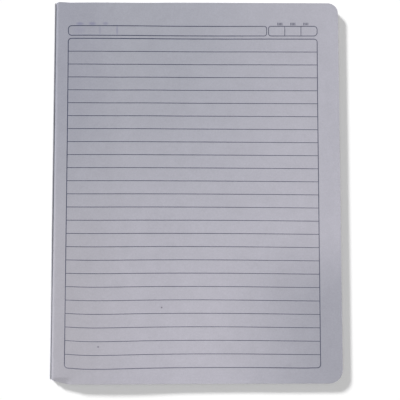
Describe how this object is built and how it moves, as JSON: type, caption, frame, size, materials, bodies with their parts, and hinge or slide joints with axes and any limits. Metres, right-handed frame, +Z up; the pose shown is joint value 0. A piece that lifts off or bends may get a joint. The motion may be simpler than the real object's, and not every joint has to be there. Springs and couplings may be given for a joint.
{
  "type": "lined notebook",
  "caption": "Stapled exercise book with a thin card cover folded round underneath, open at a ruled page with a border and a heading row.",
  "frame": {"origin": "centre of the footprint, on the surface the book lies on", "axes": "+Z up out of the ruled page, +Y to the head of the page, +X from the spine to the fore-edge"},
  "size_m": [0.1812, 0.24, 0.0067],
  "materials": {
    "paper": "matt",
    "ink": "matt",
    "cover_card": "matt",
    "staple_wire": "bright drawn wire"
  },
  "bodies": {
    "book": {"page_block": "paper", "page_ruling": "ink", "page_heading": "ink", "back_cover": "cover_card", "upper_staple": "staple_wire", "lower_staple": "staple_wire"},
    "fold": {"cover_fold": "cover_card"},
    "cover": {"front_cover": "cover_card"}
  },
  "joints": [
    {"name": "spine_fold", "type": "hinge", "parent": "book", "child": "fold", "pos_m": [-0.0902, 0, 0.00365], "axis": [0, 1, 0], "range_deg": [0, 180]},
    {"name": "cover_turn", "type": "hinge", "parent": "fold", "child": "cover", "pos_m": [-0.09045, 0, 0.00015], "axis": [0, 1, 0], "range_deg": [0, 180]}
  ]
}
